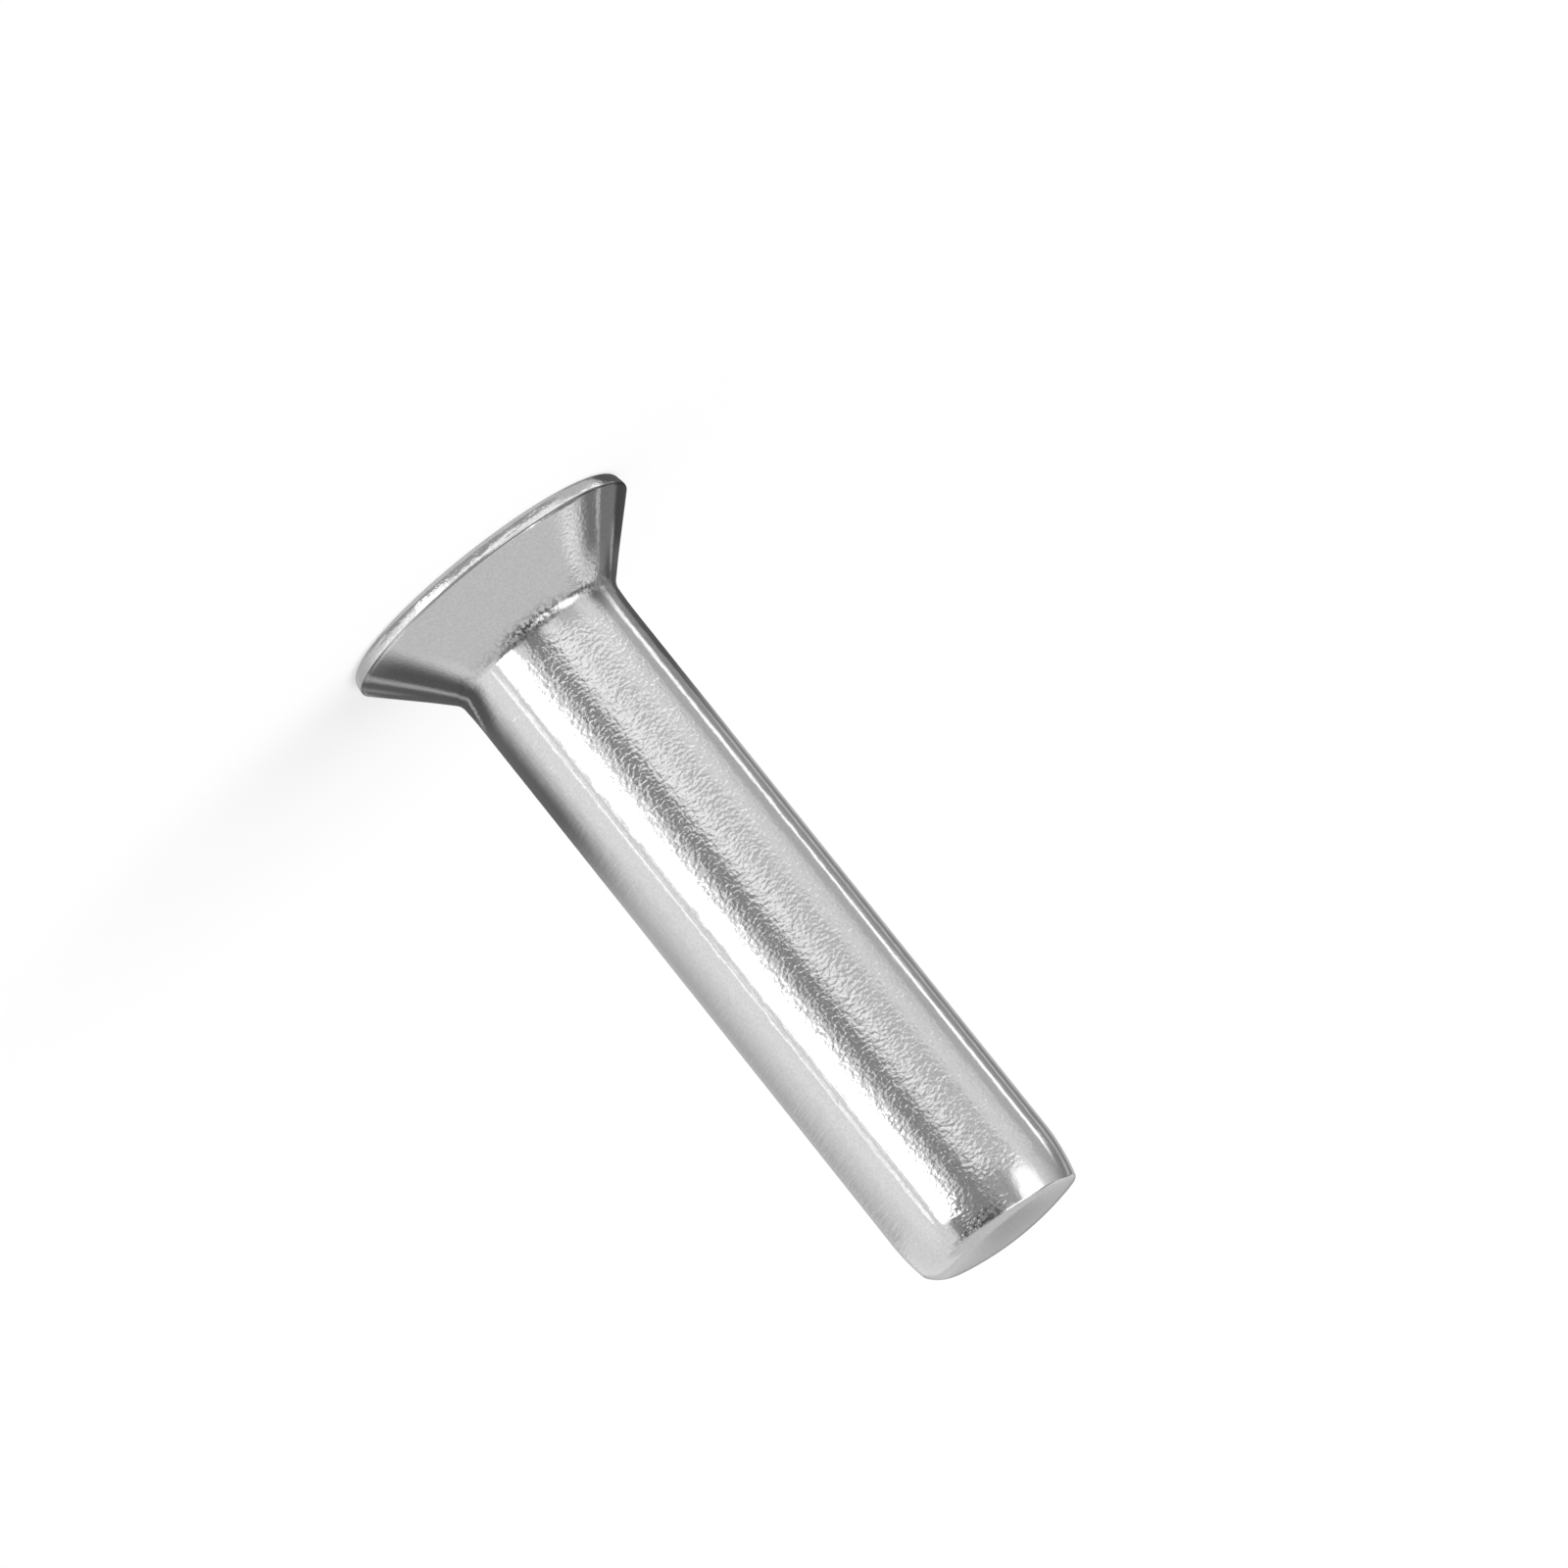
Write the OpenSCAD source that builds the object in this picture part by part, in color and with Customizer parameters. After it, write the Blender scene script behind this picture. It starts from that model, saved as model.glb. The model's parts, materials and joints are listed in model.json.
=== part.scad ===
// Countersunk solid rivet: one cold-headed piece of round wire, standing on the flat face of its head

/* [Shank] */
// Diameter of the shank
shank_d = 5; // [4:0.1:8]
// Length over all, from the flat face of the head to the end of the shank
length = 22; // [10:0.5:60]

/* [Head] */
// Diameter of the head
head_d = 8.7; // [8.2:0.1:14]
// Angle of the countersunk cone, from side to side
cone_angle = 90; // [70:1:120]
// Height of the straight land round the rim
land_h = 0.38; // [0.2:0.02:0.8]
// Radius of the rim's edge at the flat face
rim_r = 0.14; // [0.04:0.02:0.2]
// Radius of the fillet between the cone and the shank
neck_r = 0.3; // [0.1:0.05:0.6]

/* [Sheared end] */
// Length over which the shank draws in towards its end
lead_l = 1.8; // [0.8:0.1:3]
// Depth by which it draws in, at each side
lead_depth = 0.3; // [0.1:0.05:0.6]
// Radius of the domed end face
dome_r = 8.3; // [4:0.1:40]
// Radius of the edge that the cut rolled over
roll_r = 1; // [0.3:0.1:2]
// Distance by which the cut lies off the shank's axis
cut_offset = 0.2; // [0:0.05:0.5]

/* [Hidden] */
$fn = 120;

// Room between the rolled edge's wall and the shank, where the cut leaves the shank whole
cut_clear = 0.05;
// How far the waste reaches past the end that it cuts
waste_reach = 1;

shank_r = shank_d / 2;
head_r = head_d / 2;

// Height at which the cone would meet the bare shank, and the fillet that rounds that corner
cone_half = cone_angle / 2;
neck_z = land_h + (head_r - shank_r) / tan(cone_half);
neck_run = neck_r * tan(cone_half / 2);

// The lead is an arc tangent to the shank
lead_z = length - lead_l;
lead_r = (lead_l * lead_l + lead_depth * lead_depth) / (2 * lead_depth);

// The cut's own profile: a straight wall, a rolled edge and a dome, each tangent to the next
cut_r = shank_r + cut_offset + cut_clear;
dome_z = length - dome_r;
roll_x = cut_r - roll_r;
roll_z = dome_z + sqrt(pow(dome_r - roll_r, 2) - pow(roll_x, 2));
roll_end = [roll_x, roll_z - dome_z] * dome_r / (dome_r - roll_r) + [0, dome_z];
cut_z = roll_z - waste_reach;

module lead_profile() {
    intersection() {
        translate([shank_r - lead_r, lead_z]) circle(lead_r);
        translate([0, lead_z]) square([shank_r, lead_l]);
    }
}

module neck_fillet() {
    on_shank = [shank_r, neck_z + neck_run];
    on_cone = [shank_r + neck_run * sin(cone_half), neck_z - neck_run * cos(cone_half)];
    centre = on_shank + [neck_r, 0];
    difference() {
        polygon([[shank_r - neck_r, neck_z], on_cone, centre, on_shank]);
        translate(centre) circle(neck_r);
    }
}

// Half section of the rivet before it is cut to length
module blank_profile() {
    polygon([
        [0, 0],
        [head_r - rim_r, 0],
        [head_r - rim_r, rim_r],
        [head_r, rim_r],
        [head_r, land_h],
        [shank_r, neck_z],
        [shank_r, lead_z],
        [0, lead_z]
    ]);
    translate([head_r - rim_r, rim_r]) circle(rim_r);
    neck_fillet();
    lead_profile();
}

// Half section of what the cut leaves: everything under the dome and inside the rolled edge
module end_profile() {
    polygon([
        [0, cut_z],
        [cut_r, cut_z],
        [cut_r, roll_z],
        [roll_x, roll_z],
        roll_end,
        [0, roll_end[1]]
    ]);
    translate([roll_x, roll_z]) circle(roll_r);
    intersection() {
        translate([0, dome_z]) circle(dome_r);
        translate([0, roll_end[1]]) square([roll_end[0], length - roll_end[1]]);
    }
}

module waste_profile() {
    difference() {
        translate([0, cut_z]) square([cut_r + waste_reach, length - cut_z + waste_reach]);
        end_profile();
    }
}

module rivet() {
    color("silver")
    difference() {
        rotate_extrude() blank_profile();
        translate([-cut_offset, 0, 0]) rotate_extrude() waste_profile();
    }
}

rivet();
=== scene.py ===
import json
import math

import bpy
import numpy as np
from mathutils import Matrix, Vector


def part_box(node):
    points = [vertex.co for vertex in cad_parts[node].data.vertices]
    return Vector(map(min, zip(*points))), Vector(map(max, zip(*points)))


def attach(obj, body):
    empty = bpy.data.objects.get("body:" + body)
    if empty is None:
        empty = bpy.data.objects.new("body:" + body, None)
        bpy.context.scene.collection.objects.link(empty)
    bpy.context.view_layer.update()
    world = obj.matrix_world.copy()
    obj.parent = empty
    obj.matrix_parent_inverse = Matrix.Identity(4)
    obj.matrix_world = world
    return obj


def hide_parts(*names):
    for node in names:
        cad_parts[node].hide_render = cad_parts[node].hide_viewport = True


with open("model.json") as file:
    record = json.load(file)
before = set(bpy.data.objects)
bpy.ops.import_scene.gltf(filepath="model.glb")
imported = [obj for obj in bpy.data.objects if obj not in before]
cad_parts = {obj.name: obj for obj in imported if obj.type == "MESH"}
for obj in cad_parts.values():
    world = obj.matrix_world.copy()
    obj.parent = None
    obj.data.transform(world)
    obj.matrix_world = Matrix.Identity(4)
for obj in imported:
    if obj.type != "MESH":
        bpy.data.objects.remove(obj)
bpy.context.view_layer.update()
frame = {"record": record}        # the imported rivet, standing on its head
scene = bpy.context.scene
mm = 0.001               # the lengths below are in millimetres, Blender's in metres


# sRGB hex to the linear colour that shader sockets take
def hexColour(code):
    srgb = np.array([int(code[i:i + 2], 16) for i in (1, 3, 5)]) / 255
    linear = np.where(srgb <= 0.04045, srgb / 12.92, ((srgb + 0.055) / 1.055) ** 2.4)
    return (*linear.tolist(), 1.0)


# Adds a node, sets its properties and plain inputs, and links sockets given as inputs
def addNode(tree, kind, inputs=None, **settings):
    node = tree.nodes.new(kind)
    for name, value in settings.items():
        setattr(node, name, value)
    for key, value in (inputs or {}).items():
        if isinstance(value, bpy.types.NodeSocket):
            tree.links.new(value, node.inputs[key])
        else:
            node.inputs[key].default_value = value
    return node


def newMaterial(name):
    material = bpy.data.materials.new(name)
    material.use_nodes = True
    material.node_tree.nodes.clear()
    return material, material.node_tree


# 0 below low, 1 above high, and t^2 (3 - 2 t) between
def smoothStep(x, low, high):
    t = np.clip((x - low) / (high - low), 0, 1)
    return t * t * (3 - 2 * t)


# exp(-((x - centre) / width)^2)
def bell(x, centre, width):
    return np.exp(-((x - centre) / width) ** 2)


# The rivet's form. Length, head and shank come from the frame, the rest follows the part or, where it is
# finer than the part, the photograph
shankMount = next(m for m in frame["record"]["mounts"] if m["name"] == "shank")
headLow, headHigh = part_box("rivet")
rivetForm = dict(
    length=(headHigh.z - headLow.z) / mm,
    headR=min(headHigh.x, headHigh.y, -headLow.x, -headLow.y) / mm,
    shankR=shankMount["dims"]["r_mm"],
    coneHalf=math.radians(45),
    landH=0.38,            # land round the rim
    landTilt=(5, 15),      # the land turns under by so many degrees, at its top and at its foot
    rimR=0.15,             # rounded edge at the flat face
    arrisR=0.05,           # the forging die's edge, between land and cone
    footShare=0.07,        # share of the cone in which the die's edge pressed its step
    neckR=0.45,            # fillet under the head, drawn fuller than the part's, and the swelling there
    swell=0.03,
    swellRun=0.45,
    leadL=1.8,             # the shank draws in over this length
    leadDepth=0.3,
    domeR=8.3,             # sheared end: dome, rolled edge, and how far off the axis the cut lies
    rollR=1.0,
    cutOffset=0.2,
    cutClear=0.05,
    creaseRun=0.05,        # run of the broken edge round the sheared face
    # the mesh: spacing along the straight stretches, rows over the curved ones, innermost rings, and columns
    spacing=dict(face=0.17, line=0.016, cone=0.062, wall=0.061),
    rows=dict(edge=9, land=9, die=6, fillet=10, lead=26, crease=4, sheared=24),
    faceMiddleR=0.12,
    shearedMiddle=0.05,
    columns=216,
)


# Rows of a half section, as r and z
# line: p = a + t (b - a)      arc: p = centre + radius (cos a, sin a)
def lineRows(a, b, spacing):
    a, b = np.array(a), np.array(b)
    count = max(2, int(np.linalg.norm(b - a) / spacing) + 1)
    return a + np.linspace(0, 1, count)[:, None] * (b - a)


def arcRows(centre, radius, start, end, count):
    angle = np.radians(np.linspace(start, end, count))
    return np.array(centre) + radius * np.stack([np.cos(angle), np.sin(angle)], 1)


# The half section from the head's centre to where the shank starts to draw in, and each row's stretch
def bodySection(form):
    head, shank, half = form["headR"], form["shankR"], form["coneHalf"]
    turn = math.degrees(half)
    rim, arris, neck = form["rimR"], form["arrisR"], form["neckR"]
    spacing, rowsOver = form["spacing"], form["rows"]
    neckZ = form["landH"] + (head - shank) / math.tan(half)
    arrisRun = arris * math.tan(half / 2)
    neckRun = neck * math.tan(half / 2)
    tiltTop, tiltFoot = np.radians(form["landTilt"])
    landTop = form["landH"] - arrisRun
    rise = landTop - rim * (1 - math.sin(tiltFoot))
    # down the land, r = head - rise (tan a t + (tan b - tan a) t^2 / 2)
    t = np.linspace(1, 0, rowsOver["land"])
    lean = math.tan(tiltTop) * t + (math.tan(tiltFoot) - math.tan(tiltTop)) * t ** 2 / 2
    land = np.stack([head - rise * lean, landTop - rise * t], 1)
    faceR = land[0, 0] - rim * math.cos(tiltFoot)
    die = arcRows((head - arris, landTop), arris, 0, turn, rowsOver["die"])
    seat = np.array([shank + neckRun * math.sin(half), neckZ - neckRun * math.cos(half)])
    toe = die[-1] + (seat - die[-1]) * form["footShare"]
    fillet = arcRows((shank + neck, neckZ + neckRun), neck, 180 + turn, 180, rowsOver["fillet"])
    stretches = {
        "face": lineRows((form["faceMiddleR"], 0), (faceR, 0), spacing["face"]),
        "edge": arcRows((faceR, rim), rim, -90, -math.degrees(tiltFoot), rowsOver["edge"]),
        "land": land,
        "die": die,
        "line": lineRows(die[-1], toe, spacing["line"]),
        "cone": lineRows(toe, seat, spacing["cone"]),
        "fillet": fillet,
        "wall": lineRows(fillet[-1], (shank, form["length"] - form["leadL"]), spacing["wall"]),
    }
    rows = np.concatenate([stretch[:-1] for stretch in stretches.values()])
    rows[:, 0] += form["swell"] * bell(rows[:, 1], neckZ, form["swellRun"])
    zone = np.concatenate([[name] * (len(stretch) - 1) for name, stretch in stretches.items()])
    return rows, zone


# Height of the sheared face at a distance q from the cut's own axis:
# dome  z = domeZ + sqrt(domeR^2 - q^2), then the rolled edge  z = rollZ + sqrt(rollR^2 - (q - rollQ)^2)
def cutHeight(form, q):
    wall = form["shankR"] + form["cutOffset"] + form["cutClear"]
    domeZ = form["length"] - form["domeR"]
    rollQ = wall - form["rollR"]
    rollZ = domeZ + math.sqrt((form["domeR"] - form["rollR"]) ** 2 - rollQ ** 2)
    meet = rollQ * form["domeR"] / (form["domeR"] - form["rollR"])
    dome = domeZ + np.sqrt(np.maximum(form["domeR"] ** 2 - q ** 2, 0))
    roll = rollZ + np.sqrt(np.maximum(form["rollR"] ** 2 - (q - rollQ) ** 2, 0))
    return np.where(q < meet, dome, roll)


# The drawn-in end: for each direction, the lead's arc runs up to the cut, turns over a small broken edge,
# and the cut's face runs in to the middle
def endSection(form, angle):
    shank, run, rowsOver = form["shankR"], form["creaseRun"], form["rows"]
    leadZ = form["length"] - form["leadL"]
    leadR = (form["leadL"] ** 2 + form["leadDepth"] ** 2) / (2 * form["leadDepth"])

    def lead(turn):
        return shank - leadR * (1 - np.cos(turn)), leadZ + leadR * np.sin(turn)

    def cut(r):
        return cutHeight(form, np.hypot(r * np.cos(angle) + form["cutOffset"], r * np.sin(angle)))

    low, high = np.zeros_like(angle), np.full_like(angle, math.asin(form["leadL"] / leadR))
    for _ in range(40):  # halving steps to the turn at which the lead meets the cut
        middle = (low + high) / 2
        r, z = lead(middle)
        under = z < cut(r)
        low, high = np.where(under, middle, low), np.where(under, high, middle)
    creaseR, creaseZ = lead(low)
    leadRows = [lead((low - run / leadR) * share) for share in np.linspace(0, 1, rowsOver["lead"])]
    start, corner = np.array(leadRows[-1]), np.array([creaseR, creaseZ])
    finish = np.array([creaseR - run, cut(creaseR - run)])
    # quadratic curve over the broken edge, p = (1 - t)^2 start + 2 t (1 - t) corner + t^2 finish
    edgeRows = [(1 - t) ** 2 * start + 2 * t * (1 - t) * corner + t ** 2 * finish
                for t in np.arange(1, rowsOver["crease"] + 1) / (rowsOver["crease"] + 1)]
    radii = [(creaseR - run) * share for share in np.linspace(1, form["shearedMiddle"], rowsOver["sheared"])]
    faceRows = [(r, cut(r)) for r in radii]
    rows = np.array([*leadRows, *edgeRows, *faceRows])
    zone = np.array(["lead"] * len(leadRows) + ["crease"] * len(edgeRows) + ["sheared"] * len(faceRows))
    return rows[:, 0], rows[:, 1], zone, float(cut(np.zeros(1))[0])


# Seeded noise on a wrap-round grid: white noise kept in a ring of wavelengths,
# k = |(waveAlong f_along, waveAround f_around)|, weight exp(-(k - 1)^2 / (2 spread^2))
def grainField(rng, shape, step, waveAlong, waveAround, spread=0.35):
    fAlong = np.fft.fftfreq(shape[0], step[0])[:, None]
    fAround = np.fft.rfftfreq(shape[1], step[1])[None, :]
    k = np.hypot(fAlong * waveAlong, fAround * waveAround)
    spectrum = np.fft.rfft2(rng.standard_normal(shape)) * np.exp(-0.5 * ((k - 1) / spread) ** 2)
    field = np.fft.irfft2(spectrum, s=shape)
    return field / field.std()


# The skin that heading, drawing and tumbling leave, as heights in mm along the surface's normal.
# A wave is a wavelength along the section and one round the axis
rivetSkin = dict(
    seed=22,
    step=0.045,                   # spacing of the noise along the section
    dent=0.0006,                  # tumbling dents on the shank, which grow from the neck
    dentWave=(0.5, 0.55),
    dentStart=(0.2, 2.0),
    rimPit=0.003,                 # pits in the land, where its noise is above a level
    rimPitWave=(0.2, 0.35),
    rimPitLevel=0.4,
    footStep=0.010,               # ragged step that the die's edge pressed round the cone's foot
    footRise=0.03,
    footRun=0.1,
    footRagged=0.3,
    neckPit=0.001,                # tearing at the neck, how far from the shank it lies and how wide it is
    neckPitWave=(0.17, 0.3),
    neckPitPlace=(-0.33, 0.22),
    facePit=0.003,                # mottling of the pressed face
    facePitWave=(0.5, 0.6),
)


# height = the sum of each mark's depth times its noise, on the stretches that it covers
def skinHeights(form, skin, along, zone, columns):
    rng = np.random.default_rng(skin["seed"])
    shape = (int(along[-1] / skin["step"]) + 3, columns)
    around = 2 * math.pi * form["shankR"] / columns
    place = along / skin["step"]
    base = np.floor(place).astype(int)
    part = (place - base)[:, None]

    def field(wave):
        grid = grainField(rng, shape, (skin["step"], around), *skin[wave])
        return grid[base] * (1 - part) + grid[base + 1] * part

    def share(values):
        return values[:, None]

    drawn = np.isin(zone, ["wall", "lead"])
    fromNeck = along - along[zone == "wall"][0]
    fromFoot = along - along[zone == "line"][0]
    height = share(drawn * smoothStep(fromNeck, *skin["dentStart"])) * skin["dent"] * field("dentWave")
    rimPits = np.maximum(field("rimPitWave") - skin["rimPitLevel"], 0)
    height -= share(np.isin(zone, ["land", "edge"])) * skin["rimPit"] * rimPits
    ragged = 1 + skin["footRagged"] * field("rimPitWave")
    fall = np.clip((skin["footRun"] - fromFoot) / (skin["footRun"] - skin["footRise"]), 0, 1)
    height -= share(smoothStep(fromFoot, 0, skin["footRise"]) * fall) * skin["footStep"] * ragged
    height += share(bell(fromNeck, *skin["neckPitPlace"])) * skin["neckPit"] * field("neckPitWave")
    height -= share(zone == "face") * skin["facePit"] * np.maximum(field("facePitWave"), 0)
    return height


# Where each finish lies. Turns are in degrees from the side that faces -Y, positive towards +X, and lengths
# in mm along the section. A pair is where a change starts and ends, or a centre and a width
rivetMarks = dict(
    # wrinkled bands along the shank: centre, half width and fade in degrees, and strength
    bands=((-6, 18, 12, 1.0), (-34, 8, 15, 0.75), (112, 30, 18, 0.9), (205, 25, 18, 0.9)),
    bandRest=0.08,               # strength between the bands
    bandStart=(0, 0.5),          # below the neck
    bandEnd=(1.0, 1.4),          # on the lead
    smoothTurn=(12, 22),         # the lead is smooth on its -X side
    smoothLead=(0.3, 0.8),
    grainTurn=(-50, 10),         # a grained strip up the cone
    grain=0.7,
    scoreTurn=66,                # fine scores across the shank, on its +X side
    scoreFade=(24, 40),
    tornTurn=11,                 # where the cut dragged its edge, torn and painted as a dark reflection, most of all towards +X
    tornFade=(14, 26),
    tornSide=(-5, 8),
    tearsAndDarkReflection=(1.0, 0.45),            # how torn and painted dark, and what the +X side adds
    tornLead=(0.95, 0.12),       # the torn, painted-dark patch starts here on the lead, and thins out towards +X
    tornThin=0.25,
    tornThinTurn=(8, 32),
    neckTurn=-4,                 # the neck is torn, and painted darker as shade under the head, most on the side that faces -Y, and again towards -X
    neckFade=(8, 30),
    neckSide=(-48, 9),
    neck=(0.35, 1.4, 0.8),       # how torn and painted dark all round, and what those two places add
    neckPlace=(-0.26, 0.24),     # from where the shank starts
    pits=dict(rim=0.2, neck=0.3, end=0.45),  # how deep the pits are there
    foot=(0.02, 0.02),           # painted shade line in the crease round the cone's foot: centre and width
    footGapTurn=75,              # all but for a stretch at +X
    footGapFade=(33, 58),
    shankGrit=0.3,               # grit left between the bands
)


# How far a turn is from a centre, either way round
def turnFrom(turn, centre):
    return np.abs((turn - centre + 180) % 360 - 180)


# How much of each finish, and of the painted shade and dark reflection, a point has, mostly 0 to 1, for the
# material: products of smooth steps and bells
def finishShares(marks, along, zone, angle):
    turn = (np.degrees(angle) + 270) % 360 - 180       # 0 faces -Y
    whole = np.ones_like(turn)
    along = along[:, None]
    fromNeck, fromLead, fromFoot = (along - along[zone == first][0] for first in ("wall", "lead", "line"))
    onLead, onCone, onSheared = ((zone == name)[:, None] for name in ("lead", "cone", "sheared"))
    onShank = np.isin(zone, ["wall", "lead"])[:, None]
    onRim = np.isin(zone, ["land", "edge", "die", "line"])[:, None]

    banded = np.full_like(turn, marks["bandRest"])
    for centre, half, fade, strength in marks["bands"]:
        band = 1 - smoothStep(turnFrom(turn, centre), half, half + fade)
        banded = np.maximum(banded, strength * band)
    smooth = smoothStep(fromLead, *marks["smoothLead"]) * smoothStep(-turn, *marks["smoothTurn"])
    banded = banded * (1 - smooth)
    drawn = onShank * smoothStep(fromNeck, *marks["bandStart"])
    drawn = drawn * (1 - smoothStep(fromLead, *marks["bandEnd"]))
    grained = onCone * marks["grain"] * bell(turn, *marks["grainTurn"])

    tornRest, tornMore = marks["tearsAndDarkReflection"]
    tearsAndDarkReflection = tornRest + tornMore * smoothStep(turn, *marks["tornSide"])
    tearsAndDarkReflection = tearsAndDarkReflection * (1 - smoothStep(turnFrom(turn, marks["tornTurn"]), *marks["tornFade"]))
    tornStart, tornRise = marks["tornLead"]
    patchStart = tornStart + marks["tornThin"] * smoothStep(turn, *marks["tornThinTurn"])
    endTearsAndDarkReflection = onLead * smoothStep(fromLead - patchStart, 0, tornRise) * tearsAndDarkReflection
    neckRest, neckMost, neckMore = marks["neck"]
    neckTearsAndShade = neckRest + neckMost * (1 - smoothStep(turnFrom(turn, marks["neckTurn"]), *marks["neckFade"]))
    neckTearsAndShade = bell(fromNeck, *marks["neckPlace"]) * (neckTearsAndShade + neckMore * bell(turn, *marks["neckSide"]))

    pits = marks["pits"]
    gap = smoothStep(turnFrom(turn, marks["footGapTurn"]), *marks["footGapFade"])
    return {
        "wrinkled": np.maximum(drawn * banded, grained),
        "lined": onShank * whole,
        "scored": onShank * (1 - smoothStep(turnFrom(turn, marks["scoreTurn"]), *marks["scoreFade"])),
        "pitted": np.maximum(onRim * pits["rim"], pits["neck"] * neckTearsAndShade + pits["end"] * endTearsAndDarkReflection),
        "gritty": np.where(onShank, np.maximum(marks["shankGrit"], banded), 1.0),
        # the next two are painted into the colour: shade at the neck, a dark reflection at the cut's end,
        # and a shade line round the cone's foot
        "paintedShade": neckTearsAndShade + endTearsAndDarkReflection,
        "paintedFootShade": bell(fromFoot, *marks["foot"]) * gap,
        "sheared": onSheared * whole,
    }


# The half sections swept round the axis, p = (r cos a, r sin a, z), and closed with a fan at each pole
def buildRivet(form, skin, marks):
    angle = np.linspace(0, 2 * math.pi, form["columns"], endpoint=False)
    rows, zone = bodySection(form)
    endR, endZ, endZone, topZ = endSection(form, angle)
    r = np.concatenate([np.repeat(rows[:, :1], len(angle), 1), endR])
    z = np.concatenate([np.repeat(rows[:, 1:], len(angle), 1), endZ])
    zone = np.concatenate([zone, endZone])

    # outward normal of the half section, a quarter turn from its tangent
    tr, tz = np.gradient(r, axis=0), np.gradient(z, axis=0)
    size = np.hypot(tr, tz)
    nr, nz = tz / size, -tr / size
    along = np.concatenate([[0], np.cumsum(np.hypot(np.diff(r, axis=0), np.diff(z, axis=0)).mean(1))])
    height = skinHeights(form, skin, along, zone, len(angle))
    r, z = r + height * nr, z + height * nz

    points = np.stack([r * np.cos(angle), r * np.sin(angle), z], -1).reshape(-1, 3)
    points = np.concatenate([points, [[0, 0, 0], [0, 0, topZ]]]) * mm
    rowCount, columnCount = r.shape
    i, j = np.meshgrid(np.arange(rowCount - 1), np.arange(columnCount), indexing="ij")
    k = (j + 1) % columnCount
    quads = np.stack([i * columnCount + j, i * columnCount + k,
                      (i + 1) * columnCount + k, (i + 1) * columnCount + j], -1).reshape(-1, 4)
    j = np.arange(columnCount)
    k = (j + 1) % columnCount
    bottom, top = len(points) - 2, len(points) - 1
    lastRow = (rowCount - 1) * columnCount
    fans = np.concatenate([np.stack([np.full(columnCount, bottom), k, j], 1),
                           np.stack([np.full(columnCount, top), lastRow + j, lastRow + k], 1)])
    mesh = bpy.data.meshes.new("rivet")
    loops = np.concatenate([quads.ravel(), fans.ravel()])
    starts = np.concatenate([np.arange(len(quads)) * 4, len(quads) * 4 + np.arange(len(fans)) * 3])
    mesh.vertices.add(len(points))
    mesh.vertices.foreach_set("co", points.astype(np.float32).ravel())
    mesh.loops.add(len(loops))
    mesh.loops.foreach_set("vertex_index", loops.astype(np.int32))
    mesh.polygons.add(len(starts))
    mesh.polygons.foreach_set("loop_start", starts.astype(np.int32))
    mesh.polygons.foreach_set("use_smooth", np.ones(len(starts), bool))
    mesh.update(calc_edges=True)

    for name, amount in finishShares(marks, along, zone, angle).items():
        poles = [0, name == "sheared"]
        values = np.concatenate([amount.ravel(), poles]).astype(np.float32)
        mesh.attributes.new(name, "FLOAT", "POINT").data.foreach_set("value", values)
    rivet = bpy.data.objects.new("rivet_body", mesh)
    scene.collection.objects.link(rivet)
    print("rivet", len(points), "points", 2 * len(quads) + len(fans), "triangles")
    return rivet


# Tumbled stainless steel, cold-headed from wire: bright but not polished
steelLook = dict(
    greys=("#BCBBBB", "#DDDCDC"),   # fine specks of two greys
    greyCell=0.07,
    dark="#5A5858",                 # painted shade specks at the neck, a painted dark reflection at the cut's end, and a painted shade line round the cone's foot
    darkCell=0.1,
    darkNoise=(0.42, 0.58),         # the noise's range that turns dark, and how dark at most
    darkMost=0.58,
    roughness=(0.07, 0.13),         # from the noise's low to its high
    roughCell=1.1,
    roughNoise=(0.3, 0.7),
    # relief: its finish, the noise's cell along x, y and z and its height, in mm, and the noise's settings
    relief=(
        ("wrinkled", (0.125, 0.125, 0.092), 0.0118, dict(Detail=0.0, Distortion=0.3)),
        ("wrinkled", (0.07, 0.07, 0.055), 0.005, dict(Detail=1.0, Distortion=0.3)),
        ("lined", (0.09, 0.09, 16.0), 0.0025, dict(Detail=1.0)),
        ("scored", (0.8, 0.8, 0.09), 0.006, dict(Detail=1.0)),
        ("pitted", (0.11, 0.11, 0.08), 0.026, dict(Detail=2.0, Roughness=0.6)),
        ("sheared", (1.5, 0.06, 1.0), 0.0015, dict(Detail=2.0)),
        # grit of the tumbling, drawn coarser than it is so that it shows
        ("gritty", (0.085, 0.085, 0.085), 0.0035, dict(Detail=3.0, Roughness=0.65)),
    ),
)


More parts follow.
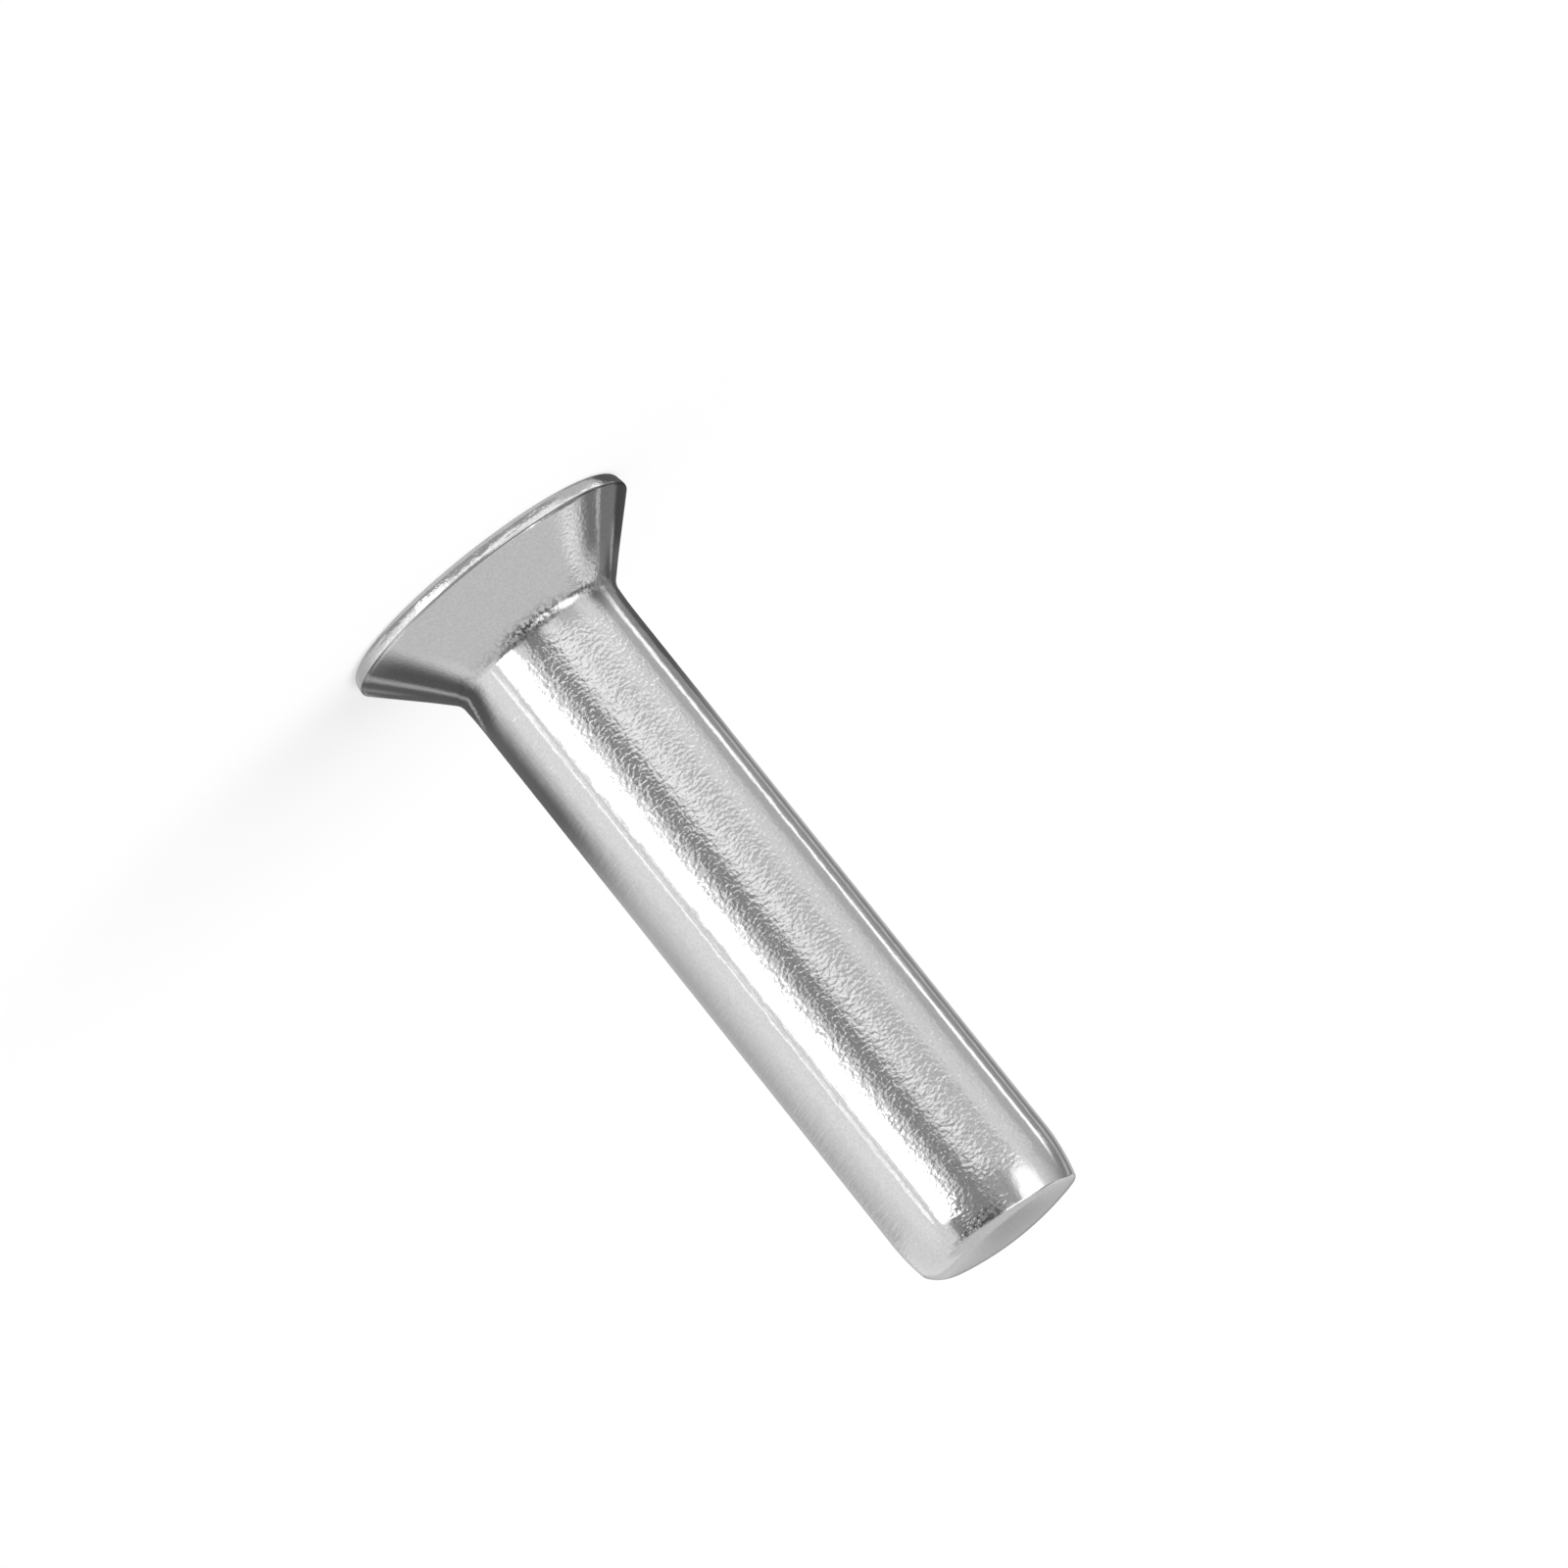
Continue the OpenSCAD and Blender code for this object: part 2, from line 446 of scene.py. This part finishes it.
# It gives the eye a neutral light grey mirror with a fine grain, broken by short cross wrinkles on the shank
def tumbledStainless(look):
    material, tree = newMaterial("tumbledStainless")
    place = addNode(tree, "ShaderNodeTexCoord").outputs["Object"]

    normal = None
    for finish, cell, height, settings in look["relief"]:
        scale = [1 / (side * mm) for side in cell]
        lay = addNode(tree, "ShaderNodeMapping", {"Vector": place, "Scale": scale}).outputs["Vector"]
        grain = addNode(tree, "ShaderNodeTexNoise", {"Vector": lay, "Scale": 1.0, **settings})
        share = addNode(tree, "ShaderNodeAttribute", attribute_name=finish)
        inputs = {"Height": grain.outputs["Fac"], "Strength": share.outputs["Fac"], "Distance": height * mm}
        if normal:
            inputs["Normal"] = normal
        normal = addNode(tree, "ShaderNodeBump", inputs).outputs["Normal"]

    speck = addNode(tree, "ShaderNodeTexNoise",
                    {"Vector": place, "Scale": 1 / (look["greyCell"] * mm), "Detail": 2.0})
    lowGrey, highGrey = (hexColour(code) for code in look["greys"])
    tone = addNode(tree, "ShaderNodeMix", {"Factor": speck.outputs["Fac"], "A": lowGrey, "B": highGrey},
                   data_type="RGBA")
    # painted shade: dark specks at the neck, a painted dark reflection on the dragged edge of the cut, and a
    # painted shade line round the cone's foot
    fleck = addNode(tree, "ShaderNodeTexNoise",
                    {"Vector": place, "Scale": 1 / (look["darkCell"] * mm), "Detail": 3.0})
    lowNoise, highNoise = look["darkNoise"]
    dark = addNode(tree, "ShaderNodeMapRange",
                   {"Value": fleck.outputs["Fac"], "From Min": lowNoise, "From Max": highNoise,
                    "To Max": look["darkMost"]})
    paintedShade = addNode(tree, "ShaderNodeAttribute", attribute_name="paintedShade")
    paintedFootShade = addNode(tree, "ShaderNodeAttribute", attribute_name="paintedFootShade")
    specked = addNode(tree, "ShaderNodeMath", {0: paintedShade.outputs["Fac"], 1: dark.outputs["Result"]},
                      operation="MULTIPLY")
    spread = addNode(tree, "ShaderNodeMath", {0: specked.outputs["Value"], 1: paintedFootShade.outputs["Fac"]},
                     operation="MAXIMUM")
    # the steel's tone, darkened by the painted shade and the painted dark reflection
    marked = addNode(tree, "ShaderNodeMix",
                     {"Factor": spread.outputs["Value"], "A": tone.outputs["Result"],
                      "B": hexColour(look["dark"])}, data_type="RGBA")
    wear = addNode(tree, "ShaderNodeTexNoise",
                   {"Vector": place, "Scale": 1 / (look["roughCell"] * mm), "Detail": 3.0})
    lowNoise, highNoise = look["roughNoise"]
    lowRough, highRough = look["roughness"]
    rough = addNode(tree, "ShaderNodeMapRange",
                    {"Value": wear.outputs["Fac"], "From Min": lowNoise, "From Max": highNoise,
                     "To Min": lowRough, "To Max": highRough})
    shader = addNode(tree, "ShaderNodeBsdfPrincipled",
                     {"Base Color": marked.outputs["Result"], "Metallic": 1.0,
                      "Roughness": rough.outputs["Result"], "Normal": normal})
    addNode(tree, "ShaderNodeOutputMaterial", {"Surface": shader.outputs["BSDF"]})
    return material


rivet = buildRivet(rivetForm, rivetSkin, rivetMarks)
rivet.data.materials.append(tumbledStainless(steelLook))
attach(rivet, "root")
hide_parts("rivet")


# The photograph's view: a long lens, low over the head's plane, rolled so that the shank points down right
cameraView = dict(lens=292.5, sensor=36.0, clip=(10, 5000), eye=(0.0, -323.594, 61.11),
                  azimuth=-0.48, elevation=9.133, roll=-141.356)


# 1 on the rays that show a surface as it is, from the camera, off metal or through glass, 0 on the others
def plainRays(tree):
    rays = addNode(tree, "ShaderNodeLightPath").outputs
    sharp = addNode(tree, "ShaderNodeMath", {0: rays["Is Camera Ray"], 1: rays["Is Glossy Ray"]},
                    operation="MAXIMUM").outputs["Value"]
    return addNode(tree, "ShaderNodeMath", {0: sharp, 1: rays["Is Transmission Ray"]},
                   operation="MAXIMUM").outputs["Value"]


# White paper under the rivet: matt, and mixed half with plain white, so that it is pale and its shadow faint
floorSheet = dict(half=4000.0, albedo="#F0F0F0", lift=0.5)


def layFloor(sheet):
    material, tree = newMaterial("whitePaper")
    seen = addNode(tree, "ShaderNodeMath", {0: plainRays(tree), 1: sheet["lift"]}, operation="MULTIPLY")
    paper = addNode(tree, "ShaderNodeBsdfDiffuse", {"Color": hexColour(sheet["albedo"])})
    lift = addNode(tree, "ShaderNodeEmission", {"Strength": 1.0})
    mix = addNode(tree, "ShaderNodeMixShader",
                  {0: seen.outputs["Value"], 1: paper.outputs["BSDF"], 2: lift.outputs["Emission"]})
    addNode(tree, "ShaderNodeOutputMaterial", {"Surface": mix.outputs["Shader"]})
    half = sheet["half"] * mm
    corners = [(-half, -half, 0), (half, -half, 0), (half, half, 0), (-half, half, 0)]
    mesh = bpy.data.meshes.new("floor")
    mesh.from_pydata(corners, [], [(0, 1, 2, 3)])
    floor = bpy.data.objects.new("floor", mesh)
    scene.collection.objects.link(floor)
    floor.data.materials.append(material)
    floor.visible_glossy = False    # the metal sees the studio beyond the paper's edge
    floor.visible_shadow = False


layFloor(floorSheet)


# Studio cards far round the rivet, seen only in the metal, each hung a little in front of the one before.
# Degrees: turn from the camera's side (-Y) towards +X, rise above the floor, and how far the start, end, low
# and high edges fade, where 0 leaves an edge whole. Level is the brightness that the metal sees
studioCards = {
    # below and above
    "underCard": dict(turn=(-180, 180), rise=(-90, -40), soft=(0, 0, 0, 6), level=0.8),
    "underRing": dict(turn=(-180, 180), rise=(-50, -28), soft=(0, 0, 8, 3), level=0.45),
    "underRight": dict(turn=(-130, -78), rise=(-44, -19.5), soft=(4, 10, 4, 1.5), level=0.7),
    "ringCard": dict(turn=(-85, 85), rise=(-30, -18), soft=(22, 22, 2, 5), level=1.4),
    "rimLine": dict(turn=(-80, 78), rise=(-27, -20.5), soft=(14, 14, 1.5, 1.5), level=1.6),
    "overCard": dict(turn=(-180, 180), rise=(43, 90), soft=(0, 0, 5, 0), level=0.8),
    "upperRing": dict(turn=(-115, 79), rise=(24, 52), soft=(9, 9, 6, 6), level=0.3),
    # behind, for the sheared face
    "backCard": dict(turn=(158, 202), rise=(-12, 50), soft=(4, 4, 6, 6), level=0.77),
    "backLow": dict(turn=(150, 210), rise=(-12, 26), soft=(15, 15, 4, 20), level=0.7),
    "backDip": dict(turn=(172, 189), rise=(2, 46), soft=(7, 7, 6, 8), level=0.52),
    "backFar": dict(turn=(155, 205), rise=(-3, 10), soft=(10, 10, 4, 5), level=0.5),
    # to the sides
    "leftLight": dict(turn=(66, 100), rise=(-30, 12), soft=(4, 22, 6, 6), level=1.12),
    "leftCard": dict(turn=(85, 185), rise=(-42, 0), soft=(60, 4, 8, 8), level=0.58),
    "rightCard": dict(turn=(-185, -75), rise=(-21, 8), soft=(4, 75, 5, 6), level=0.3),
    "rightUpper": dict(turn=(-158, -75), rise=(-1, 34), soft=(8, 60, 5, 8), level=0.3),
    "rightGrey": dict(turn=(-114, -97), rise=(-21, 8), soft=(2, 7, 5, 6), level=0.62),
    "rightLine": dict(turn=(-124, -116.5), rise=(-21, 8), soft=(1.5, 1.5, 5, 9), level=1.85),
    "rightLineThin": dict(turn=(-143.5, -136.5), rise=(-21, 24), soft=(2, 2, 5, 8), level=0.72),
    "rightLineLast": dict(turn=(-172, -154), rise=(-21, 8), soft=(4, 4, 5, 6), level=0.6),
    "rimShade": dict(turn=(-190, -127), rise=(-34, -11.5), soft=(3, 4, 5, 1.5), level=0.12),
    "rimLineRight": dict(turn=(-128, -62), rise=(-20, -15), soft=(6, 10, 1.5, 1.5), level=1.9),
    "rimLineLeft": dict(turn=(62, 118), rise=(-20, -15.5), soft=(10, 20, 1.5, 1.5), level=1.9),
    # in front, with the key light
    "frontUpper": dict(turn=(-53, 45), rise=(-5, 56), soft=(16, 16, 9, 9), level=0.5),
    "keyCard": dict(turn=(22, 54), rise=(-36, 10), soft=(9, 1.5, 5, 4), level=2.3),
    "keyLine": dict(turn=(62, 66.5), rise=(-30, 6), soft=(1, 1, 5, 5), level=1.75),
    "lensCard": dict(turn=(-15, 15), rise=(-22, 12), soft=(8, 8, 8, 8), level=0.34),
    "lensCardUpper": dict(turn=(-20, 57), rise=(5, 32), soft=(14, 14, 6, 8), level=0.33),
    "neckCard": dict(turn=(20, 78), rise=(22, 60), soft=(9, 9, 6, 5), level=0.72),
    "fillCard": dict(turn=(-40, -14), rise=(-36, -5), soft=(8, 8, 9, 6), level=1.36),
    "sideRing": dict(turn=(-72, -32), rise=(-30, -8), soft=(10, 8, 3, 8), level=1.3),
    "greyCard": dict(turn=(-70, -32), rise=(-14, 10), soft=(10, 8, 8, 9), level=0.7),
    "wedgeCard": dict(turn=(-80, -10), rise=(25, 56), soft=(20, 14, 5, 6), level=1.8),
    "coneCard": dict(turn=(-126, -105), rise=(43, 55), soft=(4, 7, 3, 3), level=1.3),
    "tipCard": dict(turn=(-90, -38), rise=(1, 47), soft=(22,), level=2.5, round=True),
}
cardHang = dict(farthest=400, gap=6, centre=(0, 0, 11), across=97, upward=65)


# Puts a grid of points round the rivet up as a glowing sheet that fades out over its soft edges
def hangSheet(name, points, fade, level):
    rows, columns = fade.shape
    i, j = np.meshgrid(np.arange(rows - 1), np.arange(columns - 1), indexing="ij")
    first = (i * columns + j).ravel()
    faces = np.stack([first, first + columns, first + columns + 1, first + 1], 1)
    mesh = bpy.data.meshes.new(name)
    mesh.from_pydata((points.reshape(-1, 3) * mm).tolist(), [], faces.tolist())
    mesh.attributes.new("fade", "FLOAT", "POINT").data.foreach_set("value", fade.astype(np.float32).ravel())
    material, tree = newMaterial(name)
    glow = addNode(tree, "ShaderNodeEmission", {"Color": (1, 1, 1, 1), "Strength": level})
    clear = addNode(tree, "ShaderNodeBsdfTransparent")
    edge = addNode(tree, "ShaderNodeAttribute", attribute_name="fade")
    mix = addNode(tree, "ShaderNodeMixShader",
                  {0: edge.outputs["Fac"], 1: clear.outputs["BSDF"], 2: glow.outputs["Emission"]})
    addNode(tree, "ShaderNodeOutputMaterial", {"Surface": mix.outputs["Shader"]})
    mesh.materials.append(material)
    hung = bpy.data.objects.new(name, mesh)
    scene.collection.objects.link(hung)
    hung.visible_camera = False
    hung.visible_diffuse = False
    hung.visible_shadow = False


# Unit vector to an azimuth and elevation: (cos e sin a, -cos e cos a, sin e)
def towards(azimuth, elevation):
    a, e = np.radians(azimuth), np.radians(elevation)
    return np.stack([np.cos(e) * np.sin(a), -np.cos(e) * np.cos(a), np.sin(e) + 0 * a], -1)


# 1 inside a sheet and 0 at its edges: a product of one smooth step from each edge
def softEdges(across, upward, soft):
    def step(inside, width):
        return smoothStep(inside, 0, width) if width else np.ones_like(inside)

    start, end, low, high = soft
    fadeAcross = step(across - across[0], start) * step(across[-1] - across, end)
    fadeUp = step(upward - upward[0], low) * step(upward[-1] - upward, high)
    return fadeUp[:, None] * fadeAcross[None, :]


# p = centre + distance d, for each direction d of the card
def hangCard(name, card, hang, distance):
    across, upward = np.linspace(*card["turn"], hang["across"]), np.linspace(*card["rise"], hang["upward"])
    if card.get("round"):      # an oval: 1 - |(x / half, y / half)|, from its middle to its edge
        x, y = np.meshgrid(np.linspace(-1, 1, hang["across"]), np.linspace(-1, 1, hang["upward"]))
        halfTurn = (across[-1] - across[0]) / 2
        fade = smoothStep((1 - np.hypot(x, y)) * halfTurn, 0, card["soft"][0])
    else:
        fade = softEdges(across, upward, card["soft"])
    hangSheet(name, distance * towards(*np.meshgrid(across, upward)) + hang["centre"], fade, card["level"])


# Small flags near the rivet, each where a patch of its surface mirrors it: on the cone or the shank, between
# which turns and heights (degrees, mm) the patch lies, how its edges fade, and how far off it hangs (mm)
nearFlags = {
    "flagLeft": dict(on="cone", turn=(44, 100), height=(-0.3, 2.6), soft=(13, 2, 1.3, 0.6),
                     level=0.13, reach=1.6),
    "streakLeft": dict(on="cone", turn=(65, 72), height=(-0.3, 3.0), soft=(2, 3, 0.4, 1.0),
                       level=0.5, reach=1.5),
    "streakLow": dict(on="cone", turn=(78, 84), height=(-0.3, 1.6), soft=(2, 2, 0.4, 1.0),
                      level=0.3, reach=1.5),
    "flagRight": dict(on="cone", turn=(-100, -43), height=(-0.3, 2.0), soft=(2, 9, 0.4, 0.7),
                      level=0.25, reach=1.6),
    "streakRight": dict(on="cone", turn=(-60.5, -58), height=(-0.3, 2.2), soft=(1, 1, 0.4, 1.4),
                        level=0.9, reach=1.5),
    "streakEdge": dict(on="cone", turn=(-76.5, -74), height=(0.9, 2.2), soft=(1, 1, 0.5, 0.5),
                       level=0.8, reach=1.4),
    "edgeRight": dict(on="cone", turn=(-100, -74), height=(-0.3, 2.0), soft=(2, 2, 0.4, 0.7),
                      level=0.08, reach=1.5),
    "shadeLeft": dict(on="shank", turn=(43, 93), height=(1.5, 10), soft=(24, 2, 0.4, 4),
                      level=0.17, reach=6.2),
    "shadeRight": dict(on="shank", turn=(-93, -67), height=(1.5, 8), soft=(2, 5, 0.4, 3.5),
                       level=0.12, reach=6.2),
}
flagGrid = dict(across=65, upward=41)


# p = c + reach m: m is the line of sight from the eye, mirrored at the patch's point c
def hangFlag(name, flag, grid, form, eye):
    across = np.linspace(*flag["turn"], grid["across"])
    upward = np.linspace(*flag["height"], grid["upward"])
    turn, height = np.meshgrid(across, upward)
    out = towards(turn, 0 * turn)
    up = np.array([0, 0, 1])
    if flag["on"] == "cone":
        radius = form["headR"] - (height - form["landH"]) * math.tan(form["coneHalf"])
        normal = out * math.cos(form["coneHalf"]) + up * math.sin(form["coneHalf"])
    else:
        radius = np.full_like(height, form["shankR"])
        normal = out
    point = out * radius[..., None] + up * height[..., None]
    sight = eye - point
    sight /= np.linalg.norm(sight, axis=-1, keepdims=True)
    mirrored = 2 * (normal * sight).sum(-1, keepdims=True) * normal - sight
    fade = softEdges(across, upward, flag["soft"])
    hangSheet(name, point + flag["reach"] * mirrored, fade, flag["level"])


for order, (name, card) in enumerate(studioCards.items()):
    hangCard(name, card, cardHang, cardHang["farthest"] - order * cardHang["gap"])
for name, flag in nearFlags.items():
    hangFlag(name, flag, flagGrid, rivetForm, np.array(cameraView["eye"]))
print("studio", len(studioCards), "cards", len(nearFlags), "flags")


# A broad soft lamp far off for the paper, so that its light is even and the shadow soft
studioLamp = dict(azimuth=-40, elevation=62, angle=50, strength=2.0)


def hangLamp(lampSet):
    lamp = bpy.data.lights.new("softLamp", "SUN")
    lamp.angle = math.radians(lampSet["angle"])
    lamp.energy = lampSet["strength"]
    hung = bpy.data.objects.new("softLamp", lamp)
    aim = Vector(-towards(lampSet["azimuth"], lampSet["elevation"]))
    hung.rotation_euler = aim.to_track_quat("-Z", "Y").to_euler()
    hung.visible_glossy = False
    scene.collection.objects.link(hung)


hangLamp(studioLamp)


# The world is white to the eye and in the metal, and a soft fill for the paper
def setWorld(fill):
    world = bpy.data.worlds.new("studio")
    world.use_nodes = True
    scene.world = world
    tree = world.node_tree
    tree.nodes.clear()
    dim = addNode(tree, "ShaderNodeBackground", {"Color": (1, 1, 1, 1), "Strength": fill})
    white = addNode(tree, "ShaderNodeBackground", {"Color": (1, 1, 1, 1), "Strength": 1.0})
    mix = addNode(tree, "ShaderNodeMixShader",
                  {0: plainRays(tree), 1: dim.outputs["Background"], 2: white.outputs["Background"]})
    addNode(tree, "ShaderNodeOutputWorld", {"Surface": mix.outputs["Shader"]})


setWorld(fill=0.6)


def placeCamera(view):
    camera = bpy.data.cameras.new("camera")
    camera.lens = view["lens"]
    camera.sensor_width = view["sensor"]
    camera.clip_start, camera.clip_end = (length * mm for length in view["clip"])
    a, e = math.radians(view["azimuth"]), math.radians(view["elevation"])
    forward = Vector((math.sin(a) * math.cos(e), math.cos(a) * math.cos(e), -math.sin(e)))
    roll = Matrix.Rotation(-math.radians(view["roll"]), 3, "Z")
    turn = forward.to_track_quat("-Z", "Y").to_matrix() @ roll
    holder = bpy.data.objects.new("camera", camera)
    holder.matrix_world = Matrix.Translation(Vector(view["eye"]) * mm) @ turn.to_4x4()
    scene.collection.objects.link(holder)
    scene.camera = holder


placeCamera(cameraView)
scene.view_settings.view_transform = "Standard"
